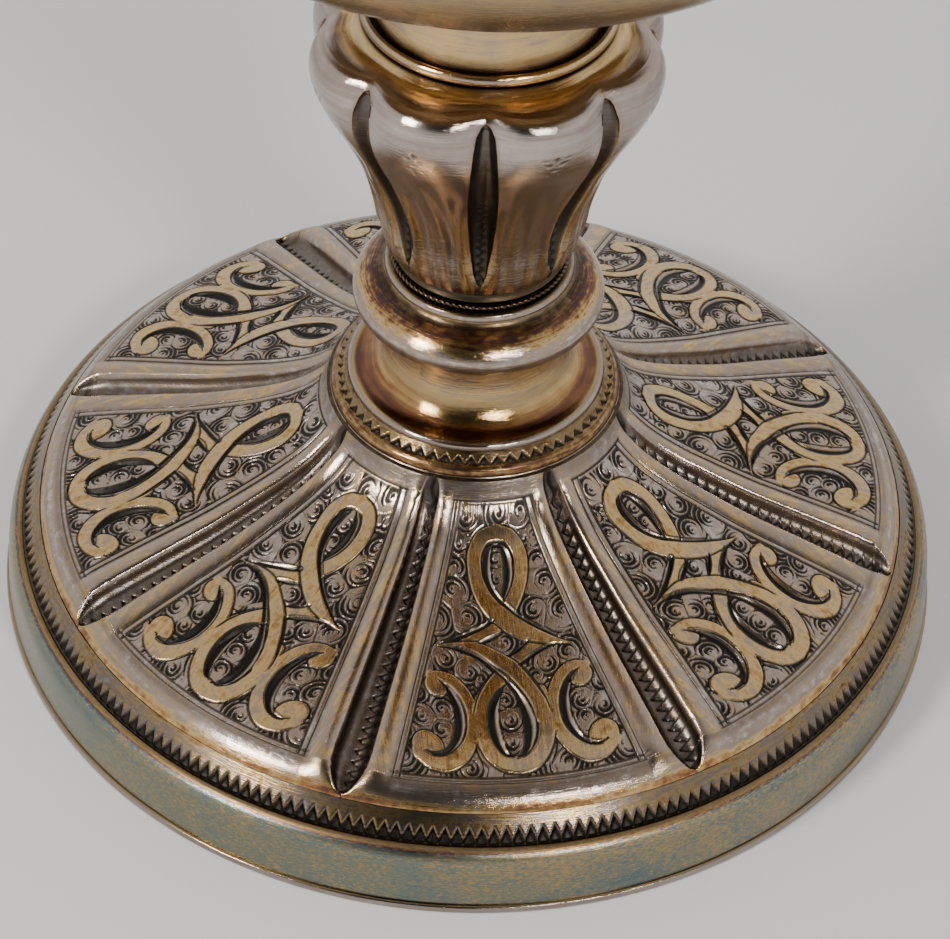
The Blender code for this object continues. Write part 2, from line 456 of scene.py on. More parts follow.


# %% One worn metal
# Near-black mixed in by the darkening attribute: soot, and painted shade in recesses, creases and gaps
# between parts.
SOOT_AND_SHADE_COLOR = (0.022, 0.020, 0.018, 1.0)
OCHRE = (0.40, 0.27, 0.12, 1.0)
SCRATCH_DEPTH = 0.000012
DENT_DEPTH = 0.00001


def blend_colors(tree, factor, first, second):
    """One Mix node, from a linked colour to a plain one."""
    mixed = tree.nodes.new("ShaderNodeMix")
    mixed.data_type = "RGBA"
    tree.links.new(factor, mixed.inputs["Factor"])
    tree.links.new(first, mixed.inputs["A"])
    mixed.inputs["B"].default_value = second
    return mixed.outputs["Result"]


def attribute(tree, name, output="Fac"):
    """One Attribute node, which reads a piece's own values."""
    node = tree.nodes.new("ShaderNodeAttribute")
    node.attribute_name = name
    return node.outputs[output]


def worn_metal(name, roughness, cloud, speckle, streak=(2.5, 0.05, 0.1), blueing=0.0, soot_and_shade_speckle=0.0,
               dents=0.0, flecks=0.0):
    """A metal whose film is the piece's own film attribute plus clouds, speckles and streaks.

    cloud and speckle are (scale, amount); streak is (across, along, amount). blueing thickens the
    film on the -X side. The darkening attribute, soot with painted shade in recesses, creases and gaps
    between parts, blackens them and dulls them, and its speckle amount makes its edge uneven. Where
    flecks is given, ochre marks, drawn out round the turning, show where the film has flaked back to
    straw: the larger it is, the more of them. dents is the depth of the speckles in the bump.
    """
    made = bpy.data.materials.new(name)
    made.use_nodes = True
    tree = made.node_tree
    shader = tree.nodes["Principled BSDF"]
    where = tree.nodes.new("ShaderNodeTexCoord").outputs["Object"]
    turning = attribute(tree, "turning", "Vector")
    clouds = placed(tree, patches, Vector=where, Scale=cloud[0])
    specks = placed(tree, patches, Vector=where, Scale=speckle[0])
    lines = placed(tree, streaks, Vector=turning, Across=streak[0], Along=streak[1])
    film_value = attribute(tree, "film")
    for pattern, amount in ((clouds, cloud[1]), (specks, speckle[1]), (lines, streak[2])):
        film_value = calculate(tree, "MULTIPLY_ADD", pattern, amount, film_value)
    if blueing:
        parts = tree.nodes.new("ShaderNodeSeparateXYZ")
        tree.links.new(where, parts.inputs[0])
        film_value = calculate(tree, "MULTIPLY_ADD", parts.outputs["X"], -blueing, film_value)
    color = placed(tree, film, Film=film_value)
    if flecks:
        marks = placed(tree, streaks, Vector=turning, Across=5.5, Along=1.5)
        bare = calculate(tree, "MULTIPLY_ADD", clouds, 1.6, flecks)
        flaked = calculate(tree, "MULTIPLY_ADD", marks, 3.2, bare, clamp=True)
        color = blend_colors(tree, flaked, color, OCHRE)
    # The darkening attribute: soot, and painted shade in recesses and between parts.
    soot_and_shade = attribute(tree, "soot_and_shade")
    if soot_and_shade_speckle:
        soot_and_shade = calculate(tree, "MULTIPLY_ADD", specks, soot_and_shade_speckle, soot_and_shade)
    soot_and_shade = calculate(tree, "MAXIMUM", calculate(tree, "MINIMUM", soot_and_shade, 1.0), 0.0)
    clean = calculate(tree, "SUBTRACT", 1.0, soot_and_shade)
    blackness = calculate(tree, "SUBTRACT", 1.0, calculate(tree, "POWER", clean, 2.2))
    tree.links.new(blend_colors(tree, blackness, color, SOOT_AND_SHADE_COLOR), shader.inputs["Base Color"])
    rough = calculate(tree, "MULTIPLY_ADD", soot_and_shade, 0.25, roughness)
    rough = calculate(tree, "MULTIPLY_ADD", clouds, 0.04, rough)
    tree.links.new(rough, shader.inputs["Roughness"])
    shader.inputs["Metallic"].default_value = 1.0
    fine = placed(tree, streaks, Vector=turning, Across=9.0, Along=0.25)
    height = calculate(tree, "MULTIPLY", fine, SCRATCH_DEPTH)
    if dents:
        height = calculate(tree, "MULTIPLY_ADD", specks, dents * DENT_DEPTH, height)
    bump = tree.nodes.new("ShaderNodeBump")
    bump.inputs["Strength"].default_value = 1.0
    bump.inputs["Distance"].default_value = 1.0
    tree.links.new(height, bump.inputs["Height"])
    tree.links.new(bump.outputs["Normal"], shader.inputs["Normal"])
    return made


silver = worn_metal("worn silver", 0.1, (60.0, 0.1), (500.0, 0.04), (1.5, 0.06, 0.12))
engraved_silver = worn_metal("engraved silver", 0.17, (150.0, 0.14), (700.0, 0.2), (1.4, 0.09, 0.2),
                             soot_and_shade_speckle=0.16, dents=1.0)
patina = worn_metal("sea-green patina", 0.25, (45.0, 0.14), (900.0, 0.12), (2.6, 0.12, 0.16),
                    blueing=0.9, flecks=0.05)
mottled_silver = worn_metal("mottled silver", 0.13, (110.0, 0.16), (900.0, 0.26), (3.4, 0.22, 0.34),
                            soot_and_shade_speckle=0.12)
gilt = worn_metal("rubbed gilding", 0.08, (50.0, 0.16), (400.0, 0.04), (1.2, 0.08, 0.16))
rod_steel = worn_metal("rod steel", 0.35, (80.0, 0.05), (500.0, 0.05))
nut_brass = worn_metal("nut brass", 0.3, (80.0, 0.08), (500.0, 0.06))
print("materials:", len(bpy.data.materials))

# %% [markdown]
# ## The foot's outline
#
# The foot is one raised sheet with eight panels, and the flutes between them were hammered in
# from above. Here it is made as eight wedges that meet along the flutes' bottoms, so that each
# panel has enough points for its engraving. Along a wedge the rows follow the foot's outline;
# most of them lie in the engraved stretch, where the lines are a quarter of a millimetre wide.

# %% Outline and rows
PANELS = 8
PITCH = FULL_TURN / PANELS
HALF_PITCH = PITCH / 2
SHEET = 1.1
FOOT_LINE = [(20.6, 36.0), (21.3, 35.1), (23.2, 32.2), (26.5, 29.3), (31.0, 26.8), (36.0, 24.7),
             (42.0, 22.5), (48.0, 20.8), (54.0, 19.1), (59.0, 17.6), (62.2, 16.2), (63.6, 14.9),
             (64.3, 13.4), (64.4, 11.0)]
BORDER_TOP = 22.6
BORDER_BOTTOM = 60.8
ENGRAVED_ROWS = 258
PLAIN_ROWS = (14, 28)


def foot_rows():
    """Radius and height of every row: even steps of length above, in and below the engraved part."""
    curve = flowing(FOOT_LINE, 40)
    length = length_along(curve)
    top, bottom = np.interp([BORDER_TOP - 0.3, BORDER_BOTTOM + 0.3], curve[:, 0], length)
    above = np.linspace(0, top, PLAIN_ROWS[0])[:-1]
    below = np.linspace(bottom, length[-1], PLAIN_ROWS[1])[1:]
    stops = np.concatenate([above, np.linspace(top, bottom, ENGRAVED_ROWS), below])
    return np.interp(stops, length, curve[:, 0]), np.interp(stops, length, curve[:, 1]), stops


row_radius, row_height, row_length = foot_rows()
print(len(row_radius), "rows, each", round(float(row_length[150] - row_length[149]), 3), "mm")

# %% Columns
ENGRAVED_COLUMNS = 236
FLUTE_COLUMNS = 21


def panel_half_width(radius):
    """Half the panel's width, measured round the foot: it widens in step with the radius."""
    return 5.5 + 0.32 * (radius - BORDER_TOP)


def wedge_columns(radius):
    """How far round the foot each column lies from the panel's middle, in millimetres, on every row."""
    inner = panel_half_width(radius)[:, None]
    outer = (HALF_PITCH * radius)[:, None]
    middle = np.linspace(-1, 1, ENGRAVED_COLUMNS)[None, :] * inner
    share = (np.arange(1, FLUTE_COLUMNS + 1) / FLUTE_COLUMNS)[None, :] ** 0.75
    side = inner + share * (outer - inner)
    return np.concatenate([-side[:, ::-1], middle, side], axis=1)


columns = wedge_columns(row_radius)
print(columns.shape, "points on a wedge")

# %% [markdown]
# ## The flutes
#
# A flute is a round-bottomed channel with a swelling lip on both sides. It starts with a round
# end under the crown and runs out to a point at the rim. A zigzag cut, made by rocking the
# graver from side to side as it moves, wanders down its floor.

# %% Flute section
FLUTE_TOP = 20.9
FLUTE_TIP = 63.7
FLUTE_SWELL = 58.0


def zigzag(position, period):
    """Triangle wave from -1 to 1."""
    return 2 * np.abs(2 * ((position / period) % 1.0) - 1) - 1


def flute(radius, aside):
    """Height, darkening (soot and painted shade in the channel) and lip share of the flute, aside
    millimetres from its middle line, to either side.

    Channel: -depth * (1 - (s / g)^2.6)^0.6 inside the half-width g. Lip: a half sine from g to the panel.
    """
    start = rise(radius, FLUTE_TOP, 1.6)
    tip = rise(radius, FLUTE_SWELL, FLUTE_TIP - FLUTE_SWELL)
    taper = np.sqrt(1 - tip**2)
    half = np.maximum((1.25 + 0.038 * (radius - 24)) * np.sqrt(start * (2 - start)) * taper, 1e-3)
    depth = (1.7 + 0.02 * (radius - 22)) * np.sqrt(start) * taper
    lip_width = HALF_PITCH * radius - panel_half_width(radius)
    across = np.abs(aside) / half
    channel = -depth * np.clip(1 - np.clip(across, 0, 1) ** 2.6, 0, 1) ** 0.6
    on_lip = rise(np.abs(aside), half, lip_width - half)
    lip = 0.55 * np.sin(np.pi * on_lip**0.75) * rise(radius, 20.9, 3) * fall(radius, 64, 3)
    path = 0.25 * half + 0.3 * half * zigzag(radius, 1.6)
    notch = stroke(aside - path, 0.4, 1) * (across < 0.85) * (half > 0.6)
    height = channel + lip - 0.3 * notch
    # The channel is darkened, more along the zigzag: soot and painted shade.
    soot_and_shade = fall(across, 1.0, 0.2) * (0.4 + 0.5 * notch)
    return height, soot_and_shade, np.clip(on_lip, 0, 1) * (across > 1)

# %% [markdown]
# ## The strapwork
#
# Each panel carries the same drawing, redone by hand: a looped strap that crosses a second one
# over a small square, an oval below, and a C-scroll on each side. A strap is a smooth middle
# line with a half-width, in millimetres across and along the radius. Straps are painted in
# order, and a later one hides the outlines of those it crosses, so they seem to weave.

# %% Lines on the panel
def mirrored(points):
    """The same line on the other side of the panel's middle."""
    return [(-point[0], *point[1:]) for point in points]


# Across, radius and half-width of each strap.
OVAL = [(-4.0, 48.6, 1.1), (-4.5, 51.5, 1.2), (-4.4, 54.0, 1.2), (-3.6, 56.5, 1.25),
        (-2.0, 58.1, 1.3), (0.0, 58.6, 1.3)]
SCROLL = [(-10.6, 46.0, 0.9), (-9.4, 45.8, 0.95), (-8.0, 46.2, 0.95), (-6.7, 47.6, 0.95),
          (-5.9, 49.4, 0.9), (-5.6, 51.4, 0.9), (-5.8, 53.6, 0.95), (-6.5, 55.4, 1.0),
          (-7.8, 57.1, 1.15), (-9.8, 58.3, 1.2), (-12.0, 58.1, 1.2), (-13.3, 57.0, 1.2)]
KNOBS = [[(-10.2, 47.1, 1.65), (-10.1, 47.2, 1.65)], [(-12.3, 56.1, 2.2), (-12.2, 56.2, 2.2)]]
UNDER_RIGHT = [(9.6, 42.3, 0.1), (7.2, 41.7, 0.45), (4.6, 41.6, 0.85), (2.7, 42.45, 0.95),
               (1.1, 43.7, 1.05), (-0.6, 45.3, 1.15), (-2.4, 47.3, 1.2), (-3.7, 49.5, 1.2),
               (-4.4, 51.8, 1.2)]
LOOP_RIGHT = [(0.0, 25.9, 0.95), (1.9, 26.5, 1.0), (3.15, 28.5, 1.05), (3.3, 31.0, 1.05),
              (2.7, 33.4, 1.05), (1.4, 35.7, 1.15), (-0.6, 37.9, 1.2), (-2.4, 39.2, 0.95),
              (-4.4, 40.2, 0.8), (-6.6, 40.8, 0.5), (-9.8, 41.3, 0.1)]
LOOP_LEFT = [(0.0, 25.9, 0.95), (-1.9, 26.5, 1.0), (-3.15, 28.5, 1.05), (-3.2, 31.0, 1.05),
             (-2.6, 33.6, 1.15), (-1.2, 36.0, 1.3), (0.9, 38.0, 1.4), (3.2, 39.8, 1.25),
             (5.6, 41.0, 0.85), (7.8, 41.8, 0.4), (9.6, 42.3, 0.1)]
OVER_LEFT = [(-9.8, 41.3, 0.1), (-7.2, 40.9, 0.35), (-4.6, 41.1, 0.75), (-2.6, 42.0, 1.0),
             (-0.8, 43.4, 1.15), (1.0, 45.1, 1.2), (2.5, 47.3, 1.2), (3.6, 49.7, 1.15),
             (4.2, 52.2, 1.15)]
LEVELS = [
    [OVAL, mirrored(OVAL), SCROLL, mirrored(SCROLL), *KNOBS, *map(mirrored, KNOBS)],
    [UNDER_RIGHT],
    [LOOP_RIGHT],
    [LOOP_LEFT],
    [OVER_LEFT],
]
HOLE = np.array([(-0.1, 39.3), (2.6, 41.0), (0.3, 42.8), (-3.0, 40.6)])

# Deep tapered cuts, listed outwards: across, radius and half-width along each.
CRESCENT = [(-9.9, 46.2, 0.1), (-8.6, 47.3, 0.45), (-7.6, 49.2, 0.7), (-7.3, 51.4, 0.78),
            (-7.6, 53.6, 0.74), (-8.6, 55.6, 0.55), (-9.9, 56.8, 0.4), (-11.4, 57.2, 0.3),
            (-12.6, 56.8, 0.15)]
DEEP_CUTS = [
    [(-0.3, 26.9, 0.1), (-1.2, 28.2, 0.5), (-1.6, 30.2, 0.68), (-1.4, 32.0, 0.6), (-0.6, 33.9, 0.42),
     (0.7, 35.6, 0.36), (2.4, 37.3, 0.32), (4.4, 38.9, 0.28), (6.6, 40.4, 0.2), (8.8, 41.9, 0.05)],
    [(0.2, 27.0, 0.1), (1.15, 28.3, 0.5), (1.5, 30.4, 0.68), (1.25, 32.4, 0.6), (0.7, 34.0, 0.4),
     (0.4, 34.9, 0.1)],
    [(-9.6, 41.2, 0.05), (-7.4, 40.2, 0.25), (-5.2, 39.3, 0.4), (-3.2, 38.4, 0.5), (-1.5, 37.6, 0.4)],
    [(-9.4, 41.4, 0.05), (-7.5, 41.3, 0.3), (-5.4, 41.8, 0.42), (-3.6, 42.8, 0.42),
     (-2.0, 44.4, 0.34), (-0.4, 46.3, 0.32), (0.9, 48.3, 0.5), (1.7, 50.5, 0.8), (2.1, 53.0, 0.95),
     (1.8, 55.2, 0.8), (1.0, 56.9, 0.45), (-0.2, 57.6, 0.1)],
    [(-0.7, 46.9, 0.1), (-2.0, 48.7, 0.55), (-2.7, 50.6, 0.85), (-2.85, 52.8, 0.95),
     (-2.5, 55.0, 0.8), (-1.7, 56.7, 0.5), (-0.7, 57.4, 0.1)],
    [(1.6, 44.2, 0.2), (3.0, 43.4, 0.36), (4.8, 42.6, 0.34), (6.8, 42.0, 0.24), (9.2, 42.4, 0.05)],
    [(0.6, 42.8, 0.2), (2.0, 41.8, 0.42), (3.4, 40.9, 0.2)],
    [(-3.3, 40.5, 0.3), (-2.0, 40.0, 0.42), (-0.3, 39.5, 0.2)],
    [(1.6, 44.2, 0.15), (2.9, 46.0, 0.24), (4.2, 48.5, 0.2), (4.8, 50.0, 0.05)],
    [(-2.0, 44.9, 0.1), (-3.9, 46.9, 0.24), (-5.2, 49.0, 0.1)],
    [(-5.7, 55.2, 0.1), (-5.3, 57.2, 0.24), (-4.2, 58.9, 0.1)],
    [(5.5, 54.6, 0.1), (5.4, 57.0, 0.24), (4.4, 58.9, 0.1)],
    CRESCENT,
    mirrored(CRESCENT),
]
# Rosettes on one half of the ground: across, radius and reach of each. Those of the second list
# lie near the middle line and aren't mirrored.
ROSETTES = [(-3.8, 24.0, 1.7), (-5.6, 27.2, 1.2), (-5.8, 30.0, 1.3), (-6.7, 33.4, 1.9),
            (-4.6, 36.8, 1.6), (-8.9, 37.6, 2.0), (-8.4, 43.2, 1.5), (-5.6, 44.6, 1.5),
            (-11.8, 43.6, 1.0), (-12.9, 48.4, 1.4), (-12.7, 51.9, 1.9), (-9.6, 50.6, 1.4),
            (-9.9, 53.4, 1.1), (-6.6, 58.9, 1.6), (-16.0, 57.8, 1.4), (-15.4, 54.4, 1.1),
            (-3.6, 46.0, 0.9), (-14.4, 50.2, 0.9), (-4.0, 27.2, 0.8), (-11.2, 40.4, 0.9)]
MIDDLE_ROSETTES = [(0.3, 24.1, 1.2), (0.0, 29.0, 1.0), (-0.2, 31.8, 0.9), (-0.3, 41.0, 1.3),
                   (-0.6, 49.3, 1.2), (-0.4, 52.3, 1.4), (-0.6, 55.4, 1.3)]
print("straps:", sum(len(level) for level in LEVELS), "deep cuts:", len(DEEP_CUTS))


# %% Distance to a line
def to_line(x, r, line, reach=2.4):
    """For every point: the distance to the nearest stretch of the line, signed by its side, how far
    along the line that is from 0 to 1, and the line's third value there. Beyond reach it is reach."""
    best = np.full(x.shape, reach)
    side, along, third = np.ones(x.shape), np.zeros(x.shape), np.zeros(x.shape)
    count = len(line) - 1
    for step, (start, end) in enumerate(zip(line[:-1], line[1:])):
        low = np.minimum(start, end)[:2] - reach
        high = np.maximum(start, end)[:2] + reach
        near = np.nonzero((x > low[0]) & (x < high[0]) & (r > low[1]) & (r < high[1]))
        run = (end - start)[:2]
        square = max(float(run @ run), 1e-9)
        to_x, to_r = x[near] - start[0], r[near] - start[1]
        share = np.clip((to_x * run[0] + to_r * run[1]) / square, 0, 1)
        distance = np.hypot(to_x - share * run[0], to_r - share * run[1])
        closer = distance < best[near]
        spot = tuple(axis[closer] for axis in near)
        best[spot] = distance[closer]
        side[spot] = np.sign(run[0] * to_r - run[1] * to_x)[closer]
        along[spot] = (step + share[closer]) / count
        third[spot] = start[2] + share[closer] * (end[2] - start[2])
    return best, side, along, third


# %% Engrave one panel
def soft(value, width):
    """0 below -width, 1 above width, straight between."""
    return np.clip(value / (2 * width) + 0.5, 0, 1)


def straps_on(x, r):
    """Paints the straps in order: where the straps are, and their outlines, both 0 to 1. The hole at
    the crossing is a four-sided figure: a point's depth in it is its least distance inside a side."""
    gold, lines = np.zeros(x.shape), np.zeros(x.shape)
    for level in LEVELS:
        edge = np.full(x.shape, 9.0)
        open_end = np.ones(x.shape)
        for strap in level:
            distance, _, along, half = to_line(x, r, flowing(strap, 8))
            inside = distance - half
            nearer = inside < edge
            edge = np.where(nearer, inside, edge)
            fading = np.clip(along / 0.05, 0, 1) * fall(along, 1, 0.05) if len(strap) > 6 else 1.0
            open_end = np.where(nearer, fading, open_end)
        cover = soft(-edge, 0.05)
        gold = np.maximum(gold, cover)
        lines = lines * (1 - cover) + stroke(edge, 0.16, 1.3) * open_end
    inside = np.full(x.shape, 9.0)
    for start, end in zip(HOLE, np.roll(HOLE, -1, axis=0)):
        run = (end - start) / np.hypot(*(end - start))
        inside = np.minimum(inside, run[0] * (r - start[1]) - run[1] * (x - start[0]))
    hole = soft(inside, 0.05)
    rim = stroke(inside, 0.13, 1.2)
    return gold * (1 - hole), np.clip(np.maximum(lines * (1 - hole), rim), 0, 1)


def deep_cuts_on(x, r):
    """A V whose width swells and dies away along the cut: how deep, how dark, both 0 to 1. The wall
    on the side where a run outwards has smaller across is dark all over, painted shade as from a lamp
    on one side, and on the other wall only the cut's deep middle is dark."""
    deepest, cut_soot_and_shade = np.zeros(x.shape), np.zeros(x.shape)
    for line in DEEP_CUTS:
        distance, side, _, half = to_line(x, r, flowing(line, 8), 1.2)
        depth = np.clip(1 - distance / np.maximum(half, 0.02), 0, 1)
        # Painted shade: one wall of the cut is dark all over, as if lit from one side.
        wall_soot_and_shade = np.where(side > 0, np.clip(depth / 0.2, 0, 1), rise(depth, 0.5, 0.4))
        rim = stroke(distance - half, 0.12, 1.3) * (half > 0.25)
        deepest = np.maximum(deepest, depth * np.clip(half / 0.6, 0.3, 1.2))
        cut_soot_and_shade = np.maximum(cut_soot_and_shade, np.maximum(wall_soot_and_shade, 0.8 * rim))
    return deepest, cut_soot_and_shade


def rosettes_on(x, r, luck):
    """Each point belongs to the rosette whose rim is nearest. Its grooves are turns of a spiral,
    spaced evenly, and each groove swells on one side of the rosette like a crescent."""
    centres = np.array(ROSETTES + mirrored(ROSETTES) + MIDDLE_ROSETTES)
    count = len(centres)
    centres[:, :2] += luck.uniform(-0.35, 0.35, (count, 2))
    centres[:, 2] *= luck.uniform(0.85, 1.15, count)
    spin = luck.choice([-1.0, 1.0], count)
    heavy = luck.uniform(0, FULL_TURN, count)
    first = np.full(x.shape, 99.0)
    second = np.full(x.shape, 99.0)
    owner = np.zeros(x.shape, int)
    for number, (cx, cr, reach) in enumerate(centres):
        rim = np.hypot(x - cx, r - cr) - reach
        closer = rim < first
        second = np.where(closer, first, np.minimum(second, rim))
        first = np.where(closer, rim, first)
        owner = np.where(closer, number, owner)
    to_x, to_r = x - centres[owner, 0], r - centres[owner, 1]
    angle = np.arctan2(to_r, to_x)
    pitch = 0.7
    turn = np.hypot(to_x, to_r) / pitch + spin[owner] * angle / FULL_TURN
    off_line = np.abs(turn % 1.0 - 0.5) * pitch
    half = -0.04 + 0.34 * (0.5 + 0.5 * np.cos(angle - heavy[owner] - 0.8 * np.floor(turn))) ** 0.8
    seam = np.clip(1 - (second - first) / 0.2, 0, 1) * 0.55
    return np.maximum(np.clip((half - off_line) / 0.09 + 0.3, 0, 1), seam)


def engraving(across, radius, seed):
    """Height, soot with painted shade, and gold of one panel's engraving, over millimetre grids."""
    luck = np.random.default_rng(seed)
    lean, bow, wave = luck.uniform(-0.4, 0.4), luck.uniform(-0.25, 0.25), luck.uniform(0, FULL_TURN)
    half = panel_half_width(radius)
    free = np.clip((half - np.abs(across)) / 3, 0, 1)
    x = across + free * (lean * np.sin((radius - BORDER_TOP) / 9 + wave) + bow * (radius - 42) / 18)
    r = radius + 0.25 * free * np.sin(across / 4 + wave) * rise(radius, 26, 4)
    r = r - 0.25 * rise(radius, 57, 3) * free * np.sin(across / 4 + wave)
    from_ends = np.minimum(radius - BORDER_TOP - 0.35, BORDER_BOTTOM - 0.75 - radius)
    ground = soft(np.minimum(half - 1.25 - np.abs(across), from_ends), 0.08)
    gold, lines = straps_on(x, r)
    cuts, cut_soot_and_shade = deep_cuts_on(x, r)
    rosettes = rosettes_on(x, r, luck) * ground * (1 - gold) * np.clip(1 - 3 * cuts, 0, 1)
    thin = stroke(half - 0.12 - np.abs(across), 0.13, 1.2)
    thick = stroke(half - 1.05 - np.abs(across), 0.27, 1.1)
    reach_up = soft(radius - BORDER_TOP, 0.15) * soft(BORDER_BOTTOM - radius, 0.15)
    wide = soft(half + 0.1 - np.abs(across), 0.1)
    ends = np.maximum(stroke(radius - BORDER_TOP - 0.1, 0.13, 1.2),
                      stroke(radius - BORDER_BOTTOM + 0.55, 0.14, 1.2))
    ends = np.maximum(ends, 0.8 * stroke(radius - BORDER_BOTTOM - 0.1, 0.16, 1.1)) * wide
    border = np.maximum(np.maximum(thin, thick) * reach_up, ends)
    marks = np.maximum(np.maximum(lines, cuts), np.maximum(rosettes, border))
    height = (-0.07 * ground * (1 - gold) - 0.13 * lines - 0.42 * cuts - 0.15 * rosettes
              - 0.13 * thin * reach_up - 0.2 * thick * reach_up - 0.1 * ends)
    soot_and_shade = np.clip(np.maximum(0.85 * lines, 0.95 * cut_soot_and_shade) + 0.85 * rosettes + 0.8 * border, 0, 0.97)
    return height, soot_and_shade, gold * ground * np.clip(1 - 2 * cuts, 0.3, 1), marks


# %% [markdown]
# ## The eight panels
#
# A wedge is closed: its top is the fine grid, its underside is the same sheet seen at a few of
# the grid's points and lowered by the sheet's thickness, and its walls join the two. A wall's
# fine edge has many points and its coarse edge few, so each fine point leans on the coarse
# point nearest in the count.

# %% Close a wedge
def picked(count, spacing):
    """Every so many indices, with both ends."""
    return np.unique(np.append(np.arange(0, count - 1, spacing), count - 1))


def wall(fine, coarse, kept):
    """Joins a fine edge to a coarse one: a quad where two neighbours lean on different coarse points,
    and a triangle where they lean on the same one."""
    lean = np.abs(np.arange(len(fine))[:, None] - kept[None, :]).argmin(axis=1)
    near, far = coarse[lean[:-1]], coarse[lean[1:]]
    same = near == far
    triangles = np.stack([fine[:-1], fine[1:], near], axis=1)[same]
    quads = np.stack([fine[:-1], fine[1:], far, near], axis=1)[~same]
    return triangles, quads


def make_panel(number):
    """One wedge of the foot; its middle is at number times the pitch from -Y. Its top is the outline
    plus the flute, the engraving and a low swelling in the panel's middle."""
    radius = np.broadcast_to(row_radius[:, None], columns.shape)
    base = np.broadcast_to(row_height[:, None], columns.shape)
    aside = -np.sign(columns) * (HALF_PITCH * radius - np.abs(columns))
    height, soot_and_shade, on_lip = flute(radius, aside)
    cut, engraved_soot_and_shade, gold, marks = engraving(columns, radius, 40 + number)
    half = panel_half_width(radius)
    crown = 0.32 * np.clip(1 - (columns / half) ** 2, 0, 1) * rise(radius, 24, 6) * fall(radius, 61, 6)
    top = base + height + cut + crown
    angle = columns / radius + number * PITCH
    rows, across = columns.shape
    kept_rows = picked(rows, 12)
    flute_kept = picked(FLUTE_COLUMNS + 1, 3)
    middle_kept = FLUTE_COLUMNS + picked(ENGRAVED_COLUMNS, 20)
    kept_columns = np.unique(np.concatenate([flute_kept, middle_kept, across - 1 - flute_kept]))
    fine = np.arange(rows * across).reshape(rows, across)
    under = round_points(radius, base + height + crown - SHEET, angle).reshape(rows, across, 3)
    under = under[np.ix_(kept_rows, kept_columns)].reshape(-1, 3)
    coarse = rows * across + np.arange(len(under)).reshape(len(kept_rows), len(kept_columns))
    lower = grid_faces(len(kept_rows), len(kept_columns), False, False)[:, ::-1] + rows * across
    edges = [(fine[0], coarse[0], kept_columns), (fine[:, -1], coarse[:, -1], kept_rows),
             (fine[-1, ::-1], coarse[-1, ::-1], across - 1 - kept_columns[::-1]),
             (fine[::-1, 0], coarse[::-1, 0], rows - 1 - kept_rows[::-1])]
    walls = [wall(*edge) for edge in edges]
    sheets = [grid_faces(rows, across, False, False), lower]
    quads = np.concatenate(sheets + [pair[1][:, ::-1] for pair in walls])
    triangles = np.concatenate([pair[0][:, ::-1] for pair in walls])
    points = np.concatenate([round_points(radius, top, angle), under])
    # Near the rim the film is thicker on the reddish ridge and thinner on the row inside it: a painted
    # highlight.
    edge_tarnish_and_highlight = 0.03 * (radius > 61) + 0.24 * bell(radius, 63.8, 0.45) - 0.05 * bell(radius, 62.4, 0.5)
    lip = np.sin(np.pi * on_lip) ** 0.5
    film_value = 0.14 + 0.155 * gold + 0.07 * lip + edge_tarnish_and_highlight + 0.04 * marks
    soot_and_shade_value = np.maximum(soot_and_shade, engraved_soot_and_shade)
    # Darkening in the outer cove, on both sides of the highlight row, and in the crown cove: dark tarnish
    # and painted shade.
    cove_soot_and_shade = 0.2 * bell(radius, 61.5, 0.45) + 0.1 * bell(radius, 63.3, 0.4)
    cove_soot_and_shade = cove_soot_and_shade + 0.2 * fall(radius, 22.9, 1.2)
    soot_and_shade_value = np.clip(soot_and_shade_value + cove_soot_and_shade, 0, 1)
    length = np.broadcast_to(row_length[:, None], columns.shape)
    plain = (radius > BORDER_BOTTOM) | (radius < BORDER_TOP)
    turning = np.stack([np.where(plain, columns, length), 40.0 * number + 0 * length,
                        np.where(plain, length, columns)], axis=-1).reshape(-1, 3)
    dull = np.full(len(under), 0.3)
    values = {"film": np.append(film_value.ravel(), dull), "soot_and_shade": np.append(soot_and_shade_value.ravel(), dull),
              "turning": np.concatenate([turning, under])}
    add_piece(f"foot_panel_{number + 1}", points, [quads, triangles], engraved_silver, "foot_shell",
              70.0, "chalice", values)


for number in range(PANELS):
    make_panel(number)

# %% [markdown]
# ## The foot's rim
#
# Under the panels a flat ledge carries a stamped wire of small teeth, then the rim falls as a
# plain upright band to a thin base wire. Each is a turned outline. The columns after the radius
# and the height are film, and soot with painted shade: the ledge is brown, and the band is a thick
# sea-green film.

# %% Base wire and band
base_wire = outline_of(
    [(66.0, 0.0, 0.4, 0.5), (69.6, 0.0, 0.3, 0.2)],
    [(69.6, 0.0, 0.2, 0.2), (69.88, 0.12, 0.12, 0.1), (69.96, 0.35, 0.06, 0.1),
     (69.95, 0.75, 0.08, 0.1), (69.85, 1.05, 0.12, 0.1), (69.6, 1.2, 0.3, 0.3), (69.3, 1.25, 0.3, 0.3)],
    [(69.3, 1.25, 0.4, 0.5), (66.0, 1.25, 0.4, 0.6)],
)
turned("base_wire_ring", base_wire, silver, "base_wire", "patina", 192)
band = outline_of(
    [(69.45, 1.3, 0.84, 0.1), (69.5, 1.8, 0.86, 0.0), (69.44, 3.2, 0.88, 0.0),
     (69.32, 5.0, 0.88, 0.0), (69.18, 6.8, 0.88, 0.0), (69.0, 8.2, 0.88, 0.0), (68.7, 9.2, 0.86, 0.0),
     (68.2, 10.0, 0.84, 0.0), (67.6, 10.5, 0.3, 0.3), (67.1, 10.68, 0.3, 0.35), (66.8, 10.6, 0.3, 0.4)],
    [(66.8, 10.6, 0.3, 0.5), (62.4, 10.6, 0.4, 0.9)],
    [(62.4, 9.8, 0.4, 0.8), (66.2, 9.8, 0.4, 0.5), (67.5, 9.2, 0.4, 0.4), (68.1, 7.6, 0.4, 0.4),
     (68.2, 1.3, 0.4, 0.4)],
)
turned("foot_rim_band", band, patina, "foot_band", "patina", 192)


# %% Stamped tooth wires
FACE_ROWS = 18


